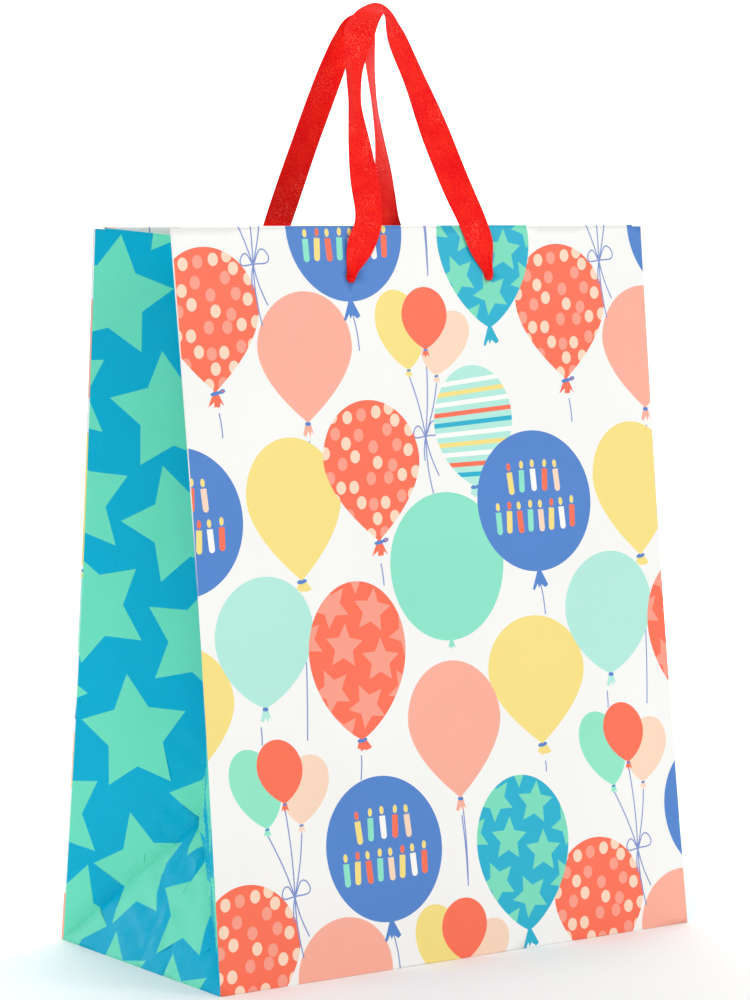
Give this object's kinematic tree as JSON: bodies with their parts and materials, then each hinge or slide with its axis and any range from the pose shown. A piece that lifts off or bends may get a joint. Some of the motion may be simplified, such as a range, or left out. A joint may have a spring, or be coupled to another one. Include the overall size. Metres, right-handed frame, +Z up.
{
  "type": "gift bag",
  "caption": "Paper carrier bag with gusseted sides, printed party balloons, turned-in rim, base board and ribbon loop handles.",
  "frame": {"origin": "centre of the base, on the plane the bag stands on", "axes": "+Z up from the base to the handles, +X across the bag's width, -Y towards the bag's front panel"},
  "size_m": [0.26, 0.14, 0.4275],
  "materials": {
    "printed_paper": "white coated paper printed with coloured balloons, satin",
    "star_paper": "coated paper printed blue with mint stars, glossy",
    "grey_board": "uncoated grey board",
    "ribbon": "soft red ribbon with a fine sheen"
  },
  "bodies": {
    "bag": {"front_panel": "printed_paper", "back_panel": "printed_paper", "left_gusset": "star_paper", "right_gusset": "star_paper", "side_seam_flap": "printed_paper", "front_bottom_flap": "printed_paper", "back_bottom_flap": "printed_paper", "left_tuck_flap": "star_paper", "right_tuck_flap": "star_paper", "base_board": "grey_board", "front_top_card": "grey_board", "back_top_card": "grey_board", "front_hem": "printed_paper", "back_hem": "printed_paper", "left_hem": "star_paper", "right_hem": "star_paper", "front_left_knot": "ribbon", "front_right_knot": "ribbon", "back_left_knot": "ribbon", "back_right_knot": "ribbon"},
    "front_handle": {"front_handle_ribbon": "ribbon"},
    "back_handle": {"back_handle_ribbon": "ribbon"}
  },
  "joints": [
    {"name": "front_handle_swing", "type": "hinge", "parent": "bag", "child": "front_handle", "pos_m": [0, -0.03683, 0.30625], "axis": [1, 0, 0], "range_deg": [0, 165]},
    {"name": "back_handle_swing", "type": "hinge", "parent": "bag", "child": "back_handle", "pos_m": [0, 0.03683, 0.30625], "axis": [-1, 0, 0], "range_deg": [0, 165]}
  ]
}
